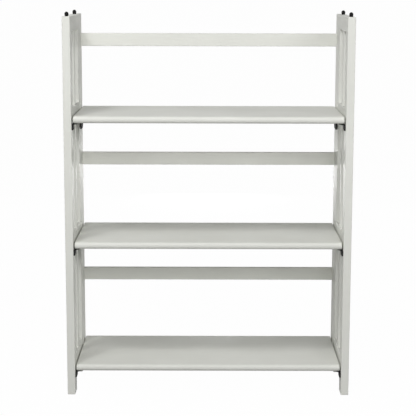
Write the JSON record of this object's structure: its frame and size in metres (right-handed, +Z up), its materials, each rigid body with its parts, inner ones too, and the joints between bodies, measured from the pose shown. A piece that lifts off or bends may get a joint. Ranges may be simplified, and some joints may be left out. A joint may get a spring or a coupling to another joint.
{
  "type": "folding bookcase",
  "caption": "Folding stackable bookcase in painted wood, with slatted side frames, back rails and shelves that swing up flat against the back.",
  "frame": {"origin": "on the floor, in the middle of the width and of the depth", "axes": "+X to the right seen from the front, +Y to the back, +Z up"},
  "size_m": [0.7, 0.292, 0.945],
  "materials": {
    "painted_wood": "satin paint",
    "bare_wood": "bare",
    "painted_steel": "satin",
    "black_metal": "satin",
    "black_peg": "satin",
    "steel": "satin",
    "nylon": "matte"
  },
  "bodies": {
    "frame": {"back_rail_dowels": "bare_wood", "bottom_back_rail": "painted_wood", "hinge_screws": "painted_steel", "left_back_post": "painted_wood", "left_bottom_rest_bracket": "black_metal", "left_bottom_shelf_side_rail": "painted_wood", "left_bottom_slat": "painted_wood", "left_frame_dowels": "bare_wood", "left_front_peg": "black_peg", "left_front_stile": "painted_wood", "left_hinge_pins": "painted_steel", "left_hinge_post_leaves": "painted_steel", "left_hinge_stile_leaves": "painted_steel", "left_middle_rest_bracket": "black_metal", "left_middle_shelf_side_rail": "painted_wood", "left_middle_slat": "painted_wood", "left_rear_peg": "black_peg", "left_rear_stile": "painted_wood", "left_top_rest_bracket": "black_metal", "left_top_shelf_side_rail": "painted_wood", "left_top_side_rail": "painted_wood", "left_top_slat": "painted_wood", "middle_back_rail": "painted_wood", "pivot_pins": "steel", "pivot_washers": "nylon", "rest_bracket_screws": "black_metal", "right_back_post": "painted_wood", "right_bottom_rest_bracket": "black_metal", "right_bottom_shelf_side_rail": "painted_wood", "right_bottom_slat": "painted_wood", "right_frame_dowels": "bare_wood", "right_front_peg": "black_peg", "right_front_stile": "painted_wood", "right_hinge_pins": "painted_steel", "right_hinge_post_leaves": "painted_steel", "right_hinge_stile_leaves": "painted_steel", "right_middle_rest_bracket": "black_metal", "right_middle_shelf_side_rail": "painted_wood", "right_middle_slat": "painted_wood", "right_rear_peg": "black_peg", "right_rear_stile": "painted_wood", "right_top_rest_bracket": "black_metal", "right_top_shelf_side_rail": "painted_wood", "right_top_side_rail": "painted_wood", "right_top_slat": "painted_wood", "top_back_rail": "painted_wood"},
    "shelf_bottom": {"bottom_shelf": "painted_wood", "left_bottom_pivot_bracket": "black_metal", "right_bottom_pivot_bracket": "black_metal", "bottom_pivot_screws": "black_metal"},
    "shelf_middle": {"middle_shelf": "painted_wood", "left_middle_pivot_bracket": "black_metal", "right_middle_pivot_bracket": "black_metal", "middle_pivot_screws": "black_metal"},
    "shelf_top": {"top_shelf": "painted_wood", "left_top_pivot_bracket": "black_metal", "right_top_pivot_bracket": "black_metal", "top_pivot_screws": "black_metal"}
  },
  "joints": [
    {"name": "bottom_shelf_fold", "type": "hinge", "parent": "frame", "child": "shelf_bottom", "pos_m": [0, 0.0995, 0.0445], "axis": [-1, 0, 0], "range_deg": [0, 90]},
    {"name": "middle_shelf_fold", "type": "hinge", "parent": "frame", "child": "shelf_middle", "pos_m": [0, 0.0995, 0.3545], "axis": [-1, 0, 0], "range_deg": [0, 90]},
    {"name": "top_shelf_fold", "type": "hinge", "parent": "frame", "child": "shelf_top", "pos_m": [0, 0.0995, 0.6645], "axis": [-1, 0, 0], "range_deg": [0, 90]}
  ]
}
